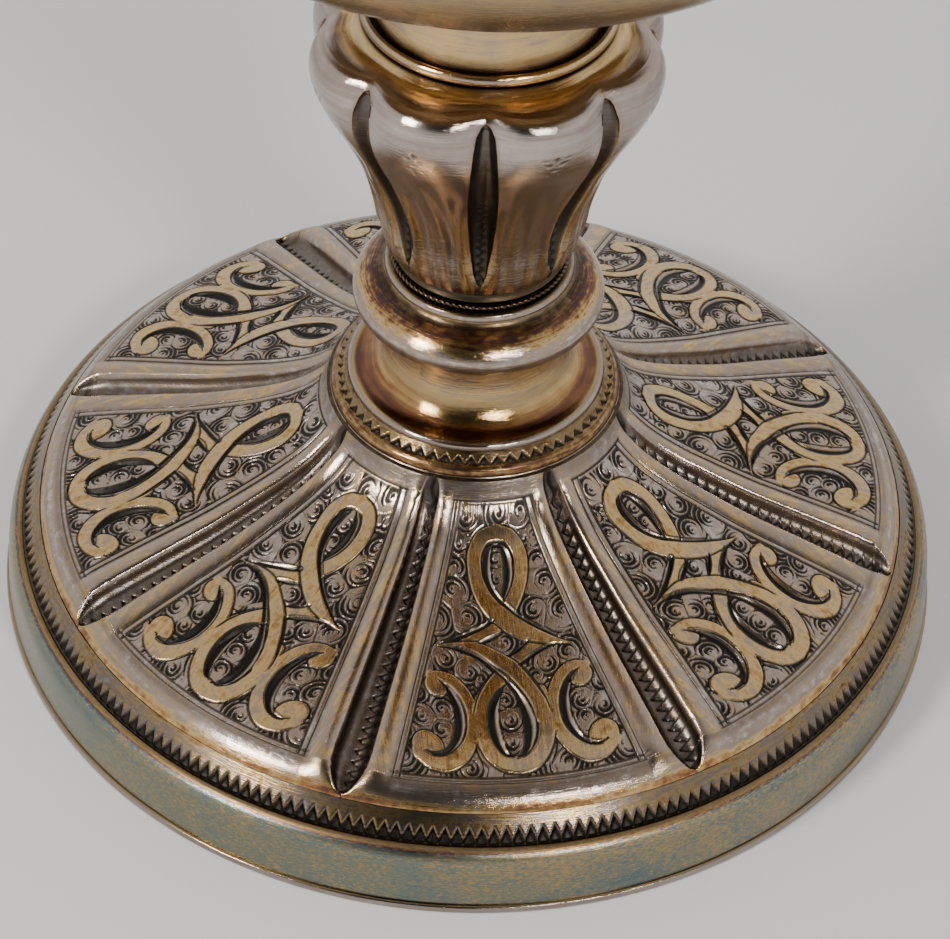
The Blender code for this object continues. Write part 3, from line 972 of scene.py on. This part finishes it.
def tooth_wire(name, node, section, teeth, per_tooth, depth, first, reach, body_film):
    """A wire whose sloping face is stamped with three-cornered pits, which leave a saw edge.

    On the face, v runs from 0 at the top to 1 at the bottom. A pit starts where v passes a
    triangle wave round the stem, from first to first plus reach, and deepens to the bottom edge.
    """
    top, bottom = np.array(section[0]), np.array(section[1])
    v = np.linspace(0, 1, FACE_ROWS)
    face = top + v[:, None] * (bottom - top)
    back = np.array(section[2:])
    rows = np.concatenate([face, back])
    v = np.append(v, np.ones(len(back)))
    on_face = np.append(np.ones(FACE_ROWS), np.zeros(len(back)))
    steps = teeth * per_tooth
    angles = np.arange(steps)[None, :] * FULL_TURN / steps
    wave = 0.5 + 0.5 * zigzag(angles * teeth / FULL_TURN, 1.0)
    start = first + reach * wave
    pit = np.clip((v[:, None] - start) / 0.25, 0, 1) * on_face[:, None]
    lowered = depth * pit
    slope = (bottom - top) / np.hypot(*(bottom - top))
    radius = rows[:, 0][:, None] - lowered * abs(slope[1])
    height = rows[:, 1][:, None] - lowered * abs(slope[0])
    lit = np.clip((start - v[:, None]) * 3, 0, 1)
    # The pits darken deeper and lower down, and the wire's back is dark: soot and painted shade.
    stamped = np.clip(0.34 + 0.66 * pit * (0.45 + 0.55 * v[:, None]), 0, 1)
    soot_and_shade = stamped * on_face[:, None] + 0.6 * (1 - on_face[:, None])
    film_value = body_film + 0.06 * lit + 0 * soot_and_shade
    values = {"film": film_value.ravel(), "soot_and_shade": soot_and_shade.ravel(),
              "turning": round_points(radius, 2 * v[:, None], angles)}
    faces = grid_faces(len(rows), steps, True, True)
    add_piece(name, round_points(radius, height, angles), [faces], mottled_silver, node, 30.0,
              "chalice", values)


tooth_wire("outer_tooth_wire", "tooth_wire", [(64.15, 14.2), (66.85, 11.2), (66.85, 10.8),
                                              (64.1, 10.8)],
           248, 8, 0.6, 0.42, 0.42, 0.2)
tooth_wire("inner_tooth_wire_ring", "inner_tooth_wire", [(18.55, 38.5), (20.3, 37.1), (20.3, 36.9),
                                                         (18.5, 36.9)],
           66, 12, 0.55, 0.25, 0.5, 0.3)

# %% [markdown]
# ## The stem
#
# The crown plate, the spool-shaped collar and the heavy ring are turned pieces that stack on
# the rod. Their film values are painted shade as well as tarnish: they turn brown and purple where
# the ring shades the spool, so they follow the shadow as much as the shape.

# %% Crown plate, collar and ring
crown = outline_of(
    [(20.9, 35.6, 0.44, 0.3), (20.85, 36.1, 0.42, 0.2), (20.65, 36.65, 0.42, 0.2),
     (20.25, 37.0, 0.4, 0.3)],
    [(20.25, 37.0, 0.42, 0.2), (4.2, 36.9, 0.4, 0.6)],
    same_finish([(4.2, 36.3), (20.2, 35.6), (20.7, 35.1)], 0.4, 0.6),
)
turned("crown_plate_disc", crown, mottled_silver, "crown_plate", "gilt")
# The browner film and the soot at the spool's foot and under the ring are partly painted shade.
collar = outline_of(
    [(18.3, 37.2, 0.3, 0.5), (18.5, 37.5, 0.16, 0.1), (18.5, 38.7, 0.10, 0.0),
     (18.35, 39.2, 0.12, 0.0), (17.9, 39.45, 0.2, 0.1), (17.3, 39.5, 0.42, 0.3)],
    [(17.3, 39.5, 0.5, 0.2), (16.3, 39.65, 0.5, 0.1), (15.2, 40.1, 0.44, 0.1),
     (14.2, 40.95, 0.36, 0.05), (13.4, 42.2, 0.31, 0.2), (12.95, 43.8, 0.28, 0.05),
     (12.72, 45.6, 0.27, 0.0), (12.7, 47.6, 0.27, 0.0), (12.9, 49.4, 0.28, 0.1),
     (13.0, 50.3, 0.34, 0.4)],
    same_finish([(11.7, 50.3), (11.5, 47.0), (11.8, 43.4), (14.3, 39.2), (15.6, 37.2)], 0.4, 0.6),
)
turned("spool_collar", collar, gilt, "stem_collar", "gilt")
ring = outline_of(
    [(14.4, 50.6, 0.4, 0.5), (15.4, 50.75, 0.3, 0.2), (16.6, 51.2, 0.22, 0.1),
     (17.5, 52.1, 0.14, 0.0), (17.8, 53.2, 0.10, 0.0), (17.65, 54.2, 0.12, 0.0),
     (17.0, 55.2, 0.26, 0.0), (16.1, 56.0, 0.42, 0.15), (15.2, 56.55, 0.5, 0.3),
     (14.3, 56.9, 0.46, 0.5), (13.7, 57.25, 0.4, 0.6), (13.35, 57.7, 0.3, 0.3),
     (13.3, 58.2, 0.12, 0.0), (13.1, 58.7, 0.2, 0.1), (12.7, 58.9, 0.3, 0.5)],
    [(12.7, 58.9, 0.3, 0.7), (4.2, 58.9, 0.3, 0.8)],
    [(4.2, 57.9, 0.3, 0.8), (11.8, 57.0, 0.3, 0.8)],
    [(11.8, 57.0, 0.3, 0.8), (11.8, 50.6, 0.3, 0.6)],
)
turned("stem_ring_moulding", ring, mottled_silver, "stem_ring", "silver")

# %% Roped wire and the knop's foot
ROPE_RADIUS = 12.15
ROPE_HEIGHT = 59.6


def wire_section(steps, radius, height, wide, tall, film_value):
    """An oval about the given radius and height, from its half-width and half-height."""
    turns = np.arange(steps) * FULL_TURN / steps
    return np.column_stack([radius + wide * np.cos(turns), height + tall * np.sin(turns),
                            film_value + 0 * turns, 0 * turns])


def roped(radius, height, film_value, soot_and_shade, angle):
    """A two-strand twist: the section swells and shrinks with the angle round the stem plus the
    angle round the wire, and the hollows between strands are darkened with soot and painted shade."""
    out, up = radius - ROPE_RADIUS, height - ROPE_HEIGHT
    around = np.arctan2(up, out * 0.81)
    strand = 0.5 + 0.5 * np.cos(2 * around + 84 * angle)
    squeeze = 0.72 + 0.28 * strand**0.6
    return (ROPE_RADIUS + out * squeeze, ROPE_HEIGHT + up * squeeze, film_value + 0 * strand,
            0.35 + 0.6 * (1 - strand) ** 1.5)


rope = wire_section(16, ROPE_RADIUS, ROPE_HEIGHT, 0.42, 0.34, 0.42)
turned("roped_wire_ring", rope, silver, "roped_wire", "silver", 672, roped, 40.0)
knop_foot = outline_of(
    [(12.0, 60.4, 0.3, 0.6), (11.6, 61.3, 0.4, 0.7), (12.0, 62.5, 0.4, 0.7)],
    same_finish([(12.0, 62.5), (4.2, 62.5)], 0.4, 0.8),
    same_finish([(4.2, 60.4), (11.9, 60.4)], 0.4, 0.8),
)
turned("knop_foot_neck", knop_foot, silver, "knop_foot", "silver")

# %% [markdown]
# ## The knop
#
# The knop is the swelling that the hand holds. Eight spoon-shaped flutes rise up it and end in
# pointed arches, and over each arch the shoulder folds in, so that seen from above its edge is
# scalloped. The shape is one function of height and of angle from the nearest flute.

# %% Knop shape
KNOP_TURN = math.radians(-7.5)


def from_flute(angle):
    """Signed angle to the nearest of the knop's flutes."""
    return (angle - KNOP_TURN + HALF_PITCH) % PITCH - HALF_PITCH


def fold(angle):
    """1 at a flute's middle, falling like a bell to nearly 0 at the crown of a lobe."""
    return np.exp(-np.abs(from_flute(angle) / math.radians(9.5)) ** 1.7)


# The knop flutes' half-width against height: a point below, a spoon, then a round arch.
KNOP_FLUTE_HEIGHTS = [64.5, 67.0, 72.0, 78.0, 84.0, 90.0, 94.5, 96.8, 97.8, 98.3]
KNOP_FLUTE_HALVES = [0.2, 0.9, 1.5, 1.9, 2.05, 1.9, 1.65, 1.25, 0.75, 0.02]
KNOP_FLUTE_DEPTHS = [0.0, 0.6, 1.2, 1.7, 1.9, 1.8, 1.3, 0.9, 0.4, 0.0]
LEAST_HALF = 0.35
SPOON_COLUMNS = 18
LOBE_COLUMNS = 38
# A darkening value this high marks the knop's hidden inside, which keeps its plain turned shape.
INSIDE_MARK = 2.0


def knop_angles(outline):
    """Eight sets of columns that follow the flutes: from edge to edge of a flute they crowd to its
    edges as a cosine does, and the rest are spread evenly over the lobe."""
    half = np.interp(outline[:, 1], KNOP_FLUTE_HEIGHTS, KNOP_FLUTE_HALVES)
    half = np.maximum(half, LEAST_HALF)[:, None] / outline[:, :1].clip(8.0)
    inside = -half * np.cos(np.pi * np.arange(SPOON_COLUMNS) / SPOON_COLUMNS)[None, :]
    outside = half + (PITCH - 2 * half) * (np.arange(LOBE_COLUMNS) / LOBE_COLUMNS)[None, :]
    one = np.concatenate([inside, outside], axis=1)
    turns = KNOP_TURN + np.arange(PANELS) * PITCH
    return (turns[None, :, None] + one[:, None, :]).reshape(len(outline), -1)


def pulled_in(radius, height, angle):
    """How far the shoulder is drawn in over a flute: most at the rim of the shoulder, less inwards."""
    shoulder = rise(height, 82, 15)
    return 2.5 * shoulder**1.5 * fold(angle) * rise(radius, 17.0, 7.2)


def across_lobe(angle, radius):
    """Distance from the middle of the nearest lobe, measured round the knop."""
    offset = (angle - KNOP_TURN) % PITCH - HALF_PITCH
    return offset * radius


# Each drop of a lobe's sprig: across, height, half-width, half-length and lean.
DROPS = [(0.0, 93.4, 0.34, 0.75, 0.0), (-0.85, 92.6, 0.28, 0.7, 0.7), (0.85, 92.6, 0.28, 0.7, -0.7),
         (0.0, 91.4, 0.3, 0.3, 0.0), (-0.7, 90.4, 0.16, 0.55, 0.5), (0.7, 90.4, 0.16, 0.55, -0.5),
         (0.0, 89.6, 0.14, 0.7, 0.0), (-1.5, 93.6, 0.16, 0.4, 1.0), (1.5, 93.6, 0.16, 0.4, -1.0)]


def sprig_on(across, height):
    """Leaning ovals: 1 in the middle of a drop, 0 at its rim."""
    found = np.zeros(np.broadcast(across, height).shape)
    for x, z, wide, tall, lean in DROPS:
        u = (across - x) * math.cos(lean) + (height - z) * math.sin(lean)
        v = (height - z) * math.cos(lean) - (across - x) * math.sin(lean)
        found = np.maximum(found, np.clip(1 - np.hypot(u / wide, v / tall), 0, 1))
    return found


def knop_form(radius, height, film_value, soot_and_shade, angle):
    """Pulls the shoulder in at each fold and sinks the flute: its half-width swells, then closes to
    a round arch near the shoulder; its section is a rounded U. Low down, a ridge runs beside it, and
    the film thickens in upright copper streaks, the sum of three sines of the angle, and along the
    flute's edges and the ridge beside it: partly tarnish, partly painted highlights standing in for
    the lit lines of the lower knop."""
    across = from_flute(angle) * radius
    half = np.interp(height, KNOP_FLUTE_HEIGHTS, KNOP_FLUTE_HALVES)
    depth = np.interp(height, KNOP_FLUTE_HEIGHTS, KNOP_FLUTE_DEPTHS)
    inside = np.clip(1 - (np.abs(across) / np.maximum(half, 0.02)) ** 2.4, 0, 1) ** 0.7
    path = 0.35 * zigzag(height, 1.5)
    low = fall(height, 84, 5)
    notch = stroke(across - path, 0.4, 1) * (inside > 0.15) * low
    ridge = 0.5 * bell(np.abs(across) - half, 0.9, 0.6) * low * rise(height, 63.5, 4)
    hammered = 0.09 * np.cos(40 * angle + 0.3 * height) * fall(height, 88, 6)
    skin = soot_and_shade < INSIDE_MARK
    sprig = sprig_on(across_lobe(angle, radius), height)
    change = np.where(skin, depth * inside + 0.2 * notch + 0.22 * sprig - ridge + hammered, 0.0)
    # Thicker film along the flute's edges: a painted copper highlight over the tarnish.
    edge = bell(np.abs(across), half, 0.35) * (height > 66)
    # The spoons are darkened inside, less towards the shoulder: soot and painted shade in the hollow.
    spoon_soot_and_shade = np.clip(inside * 3.0, 0, 1) * (0.66 + 0.25 * notch - 0.2 * rise(height, 84, 10))
    dark = np.maximum(spoon_soot_and_shade, np.maximum(0.5 * sprig, soot_and_shade))
    # Upright film streaks and a band beside the flute: painted copper highlights on the lower knop, over
    # its tarnish.
    streaks_and_highlights = (np.sin(29 * angle + 0.05 * height) + np.sin(53 * angle + 1)
            + np.sin(83 * angle + 2 - 0.04 * height))
    highlight_beside = 0.1 * low * bell(np.abs(across) - half, 0.9, 1.0)
    film_value = film_value + 0.05 * streaks_and_highlights * low + 0.12 * edge + highlight_beside
    pulled = radius - change - pulled_in(radius, height, angle)
    return pulled, height + 0 * angle, film_value, np.where(skin, dark, 0.6)


# %% Knop and its gilt cap
KNOP_LINE = [(13.2, 62.8, 0.24, 0.2), (13.75, 64.4, 0.2, 0.1), (14.1, 67.0, 0.17, 0.05),
             (14.7, 71.0, 0.15, 0.04), (16.2, 76.0, 0.15, 0.05), (18.7, 81.8, 0.15, 0.08),
             (21.0, 86.2, 0.13, 0.06), (22.5, 89.0, 0.1, 0.02), (23.6, 91.6, 0.08, 0.0),
             (24.25, 94.0, 0.07, 0.0), (24.35, 96.2, 0.07, 0.0), (24.0, 97.7, 0.08, 0.0),
             (23.2, 98.7, 0.09, 0.0), (22.1, 99.2, 0.11, 0.0)]
knop_skin = flowing(KNOP_LINE, 14)
KNOP_INSIDE = [(20.2, 97.6), (19.6, 92.0), (17.4, 85.0), (14.4, 78.0), (12.4, 70.0), (12.1, 64.0),
               (4.2, 64.0), (4.2, 62.8)]
knop_outline = np.concatenate([knop_skin, same_finish(KNOP_INSIDE, 0.3, INSIDE_MARK)])
turned("knop_body", knop_outline, silver, "knop", "silver", shape=knop_form, sharp=60.0,
       angles=knop_angles(knop_outline))


def cap_form(radius, height, film_value, soot_and_shade, angle):
    """Draws the cap's outer edge in with the folds; towards its middle it stays round."""
    flat = 0 * angle
    return radius - pulled_in(radius, height, angle), height + flat, film_value + flat, soot_and_shade + flat


cap = outline_of(
    [(22.12, 99.2, 0.07, 0.0), (21.0, 99.35, 0.14, 0.0), (20.0, 99.3, 0.26, 0.0),
     (19.0, 99.25, 0.29, 0.0), (18.2, 99.45, 0.29, 0.0), (17.6, 99.85, 0.29, 0.0),
     (17.2, 100.15, 0.29, 0.2), (17.0, 100.3, 0.36, 0.6)],
    same_finish([(17.0, 100.3), (4.2, 100.3)], 0.3, 0.7),
    same_finish([(4.2, 99.3), (16.2, 99.3), (17.8, 98.5), (20.6, 98.5)], 0.3, 0.7),
)
cap_angles = np.repeat(knop_angles(knop_skin[-1:]), len(cap), axis=0)
turned("knop_gilt_cap", cap, gilt, "knop_cap", "gilt", shape=cap_form, angles=cap_angles)

# %% [markdown]
# ## Neck, bowl and fastening
#
# A bead sits in the cap's dish under a gilt neck that opens to carry the bowl. The bowl is a
# beaker, gilt inside. Below, a steel rod runs from the bowl's boss to a brass hand nut in the
# foot's hollow, which turns to take the chalice apart.

# %% Neck and bead
bead = wire_section(24, 16.6, 101.4, 0.6, 0.8, 0.24)
turned("neck_bead_ring", bead, gilt, "neck_bead", "gilt")
neck = outline_of(
    [(15.6, 100.6, 0.4, 0.6), (15.7, 101.6, 0.38, 0.55), (15.5, 102.6, 0.34, 0.4),
     (15.25, 104.0, 0.27, 0.05), (15.0, 106.0, 0.25, 0.0), (14.8, 109.0, 0.25, 0.0),
     (14.95, 114.0, 0.25, 0.0), (15.9, 118.6, 0.26, 0.0), (18.4, 122.2, 0.28, 0.0),
     (21.2, 124.2, 0.34, 0.1)],
    same_finish([(18.6, 124.0), (16.8, 122.6), (14.6, 118.8), (13.6, 114.0), (13.4, 109.0),
                 (13.8, 100.6)], 0.3, 0.6),
)
turned("gilt_neck", neck, gilt, "neck", "gilt")

# %% Bowl and boss
BOWL_WALL = 1.1
# Towards the bottom the bowl's film and soot rise, so its underside is darker: painted shade over its
# tarnish.
bowl_outside = [(20.0, 124.7, 0.34, 0.3), (28.0, 125.3, 0.36, 0.3), (36.0, 126.5, 0.38, 0.35),
                (43.2, 128.8, 0.36, 0.35), (48.2, 132.4, 0.3, 0.3), (51.2, 137.6, 0.26, 0.2),
                (52.6, 144.5, 0.22, 0.1), (53.2, 153.0, 0.18, 0.0), (53.6, 166.0, 0.16, 0.0),
                (54.1, 182.0, 0.16, 0.0), (54.4, 197.0, 0.15, 0.0), (54.7, 201.6, 0.14, 0.0),
                (54.98, 202.9, 0.14, 0.0), (54.85, 203.5, 0.14, 0.0), (54.5, 203.75, 0.2, 0.0)]
bowl_inside = [(54.5, 203.75, 0.3, 0.0), (54.0, 203.4, 0.32, 0.0), (53.4, 198.0, 0.32, 0.0),
               (52.9, 176.0, 0.32, 0.0), (52.0, 153.0, 0.32, 0.0), (51.0, 144.6, 0.34, 0.0),
               (49.2, 138.6, 0.34, 0.0), (46.2, 134.2, 0.36, 0.0), (41.4, 130.8, 0.36, 0.0),
               (34.0, 128.5, 0.34, 0.0), (20.0, 126.4, 0.32, 0.0), (0.05, 125.6, 0.3, 0.0)]
bowl_section = outline_of(bowl_outside, bowl_inside, [(0.05, 124.45, 0.3, 0.5),
                                                      (20.0, 124.5, 0.3, 0.4)])
turned("beaker_bowl", bowl_section, silver, "bowl", "silver")
boss = outline_of(
    same_finish([(9.0, 116.0), (9.0, 122.0), (9.6, 123.4), (11.5, 124.0)], 0.3, 0.4),
    same_finish([(3.3, 124.0), (3.3, 116.0)], 0.3, 0.4),
)
turned("bowl_boss_socket", boss, gilt, "bowl_boss", "gilt", 96)

# %% Rod, washer and hand nut
ROD_RADIUS = 3.0
THREAD_PITCH = 1.0
rod_heights = [*np.linspace(22.6, 36.0, 161), 40.0, 60.0, 90.0, 116.0, *np.linspace(116.5, 121.9, 60)]
rod_side = [(ROD_RADIUS, height) for height in rod_heights]
rod_line = [(0.05, 22.0), (2.3, 22.0), *rod_side, (2.6, 122.0), (0.05, 122.0)]
rod = np.array(same_finish(rod_line, 0.1, 0.2))


def threaded(radius, height, film_value, soot_and_shade, angle):
    """A thread cut into the rod's two ends: the depth is a triangle wave of height less the turn."""
    cut = (height < 36.2) | (height > 116.2)
    wave = 0.5 + 0.5 * zigzag(height / THREAD_PITCH - angle / FULL_TURN, 1.0)
    depth = np.where(cut & (radius > 2.9), 0.35 * wave, 0.0)
    return radius - depth, height, film_value + 0 * angle, 0.2 + 0.5 * wave * cut


turned("tie_rod_threaded", rod, rod_steel, "tie_rod", "rod_steel", 48, threaded, 80.0)
washer = outline_of(
    [(3.3, 34.85, 0.3, 0.2), (13.6, 35.0, 0.3, 0.1), (13.9, 35.15, 0.3, 0.0), (14.0, 35.5, 0.3, 0.0),
     (13.9, 35.85, 0.3, 0.0), (13.6, 36.0, 0.3, 0.1)],
    [(13.6, 36.0, 0.3, 0.2), (3.3, 36.0, 0.3, 0.4)],
)
turned("nut_washer_disc", washer, nut_brass, "nut_washer", "nut_brass", 128, body="washer")
nut = outline_of(
    [(6.0, 34.5, 0.3, 0.3), (6.0, 32.7, 0.32, 0.4), (6.3, 32.4, 0.32, 0.3), (8.9, 32.1, 0.28, 0.1),
     (9.6, 31.8, 0.26, 0.0), (9.8, 31.2, 0.26, 0.0), (9.8, 28.6, 0.26, 0.0), (9.6, 28.0, 0.26, 0.0),
     (9.0, 27.8, 0.28, 0.0)],
    [(9.0, 27.8, 0.28, 0.1), (3.3, 27.8, 0.3, 0.4)],
    same_finish([(3.3, 27.8), (3.3, 34.5)], 0.3, 0.6),
)


def knurled(radius, height, film_value, soot_and_shade, angle):
    """Twelve finger flutes round the wide head, each crossed by fine upright ribs on the crests."""
    head = rise(radius, 8.2, 1.2) * (height < 32.4)
    finger = (0.5 + 0.5 * np.cos(12 * angle)) ** 1.5
    rib = 0.5 + 0.5 * np.cos(120 * angle)
    grip = head * rise(height, 28.2, 0.4) * fall(height, 31.6, 0.4) * (1 - finger)
    pressed = radius - 0.5 * finger * head - 0.14 * rib * grip
    return pressed, height, film_value + 0 * angle, soot_and_shade + 0.4 * rib * grip


turned("hand_nut_knurled", nut, nut_brass, "hand_nut", "nut_brass", 480, knurled, 60.0, "nut")
print("triangles in all:", sum(piece_triangles.values()))
